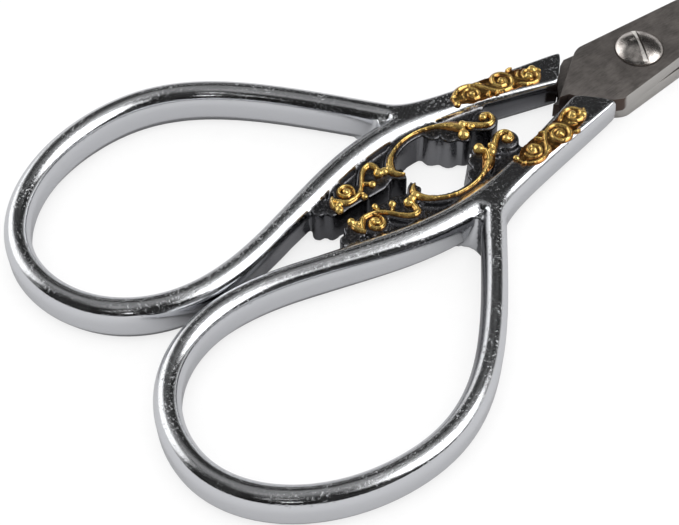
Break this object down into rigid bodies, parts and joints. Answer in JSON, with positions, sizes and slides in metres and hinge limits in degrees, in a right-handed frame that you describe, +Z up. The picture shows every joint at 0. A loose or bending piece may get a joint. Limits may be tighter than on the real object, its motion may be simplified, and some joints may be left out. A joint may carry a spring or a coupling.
{
  "type": "embroidery scissors",
  "caption": "Ornamental embroidery scissors for snipping thread: two crossed steel blades on a slotted screw, with cast teardrop finger bows and gilt scroll openwork.",
  "frame": {"origin": "under the middle of the closed scissors' box, on the surface that they lie on", "axes": "+X towards the blade tips, +Y towards the left bow, +Z up out of the flat scissors"},
  "size_m": [0.1263, 0.058, 0.0052],
  "materials": {
    "blade_steel": "dark satin steel with a fine lengthwise grain and a bright ground edge",
    "screw_steel": "polished steel, slightly tarnished",
    "chrome": "bright plated casting, slightly pitted",
    "gilt": "bright gilt on cast relief"
  },
  "bodies": {
    "lower_half": {"lower_blade": "blade_steel", "pivot_screw": "screw_steel", "left_handle": "chrome", "left_shank_scroll": "gilt", "left_heart_scroll": "gilt", "left_tail_scroll": "gilt", "left_tip_curl": "gilt"},
    "upper_half": {"upper_blade": "blade_steel", "right_handle": "chrome", "right_shank_scroll": "gilt", "right_heart_scroll": "gilt", "right_tail_scroll": "gilt", "right_tip_curl": "gilt"}
  },
  "joints": [
    {"name": "scissor_pivot", "type": "hinge", "parent": "lower_half", "child": "upper_half", "pos_m": [0.00855, -0.0003, 0.002], "axis": [0, 0, 1], "range_deg": [0, 75]}
  ]
}
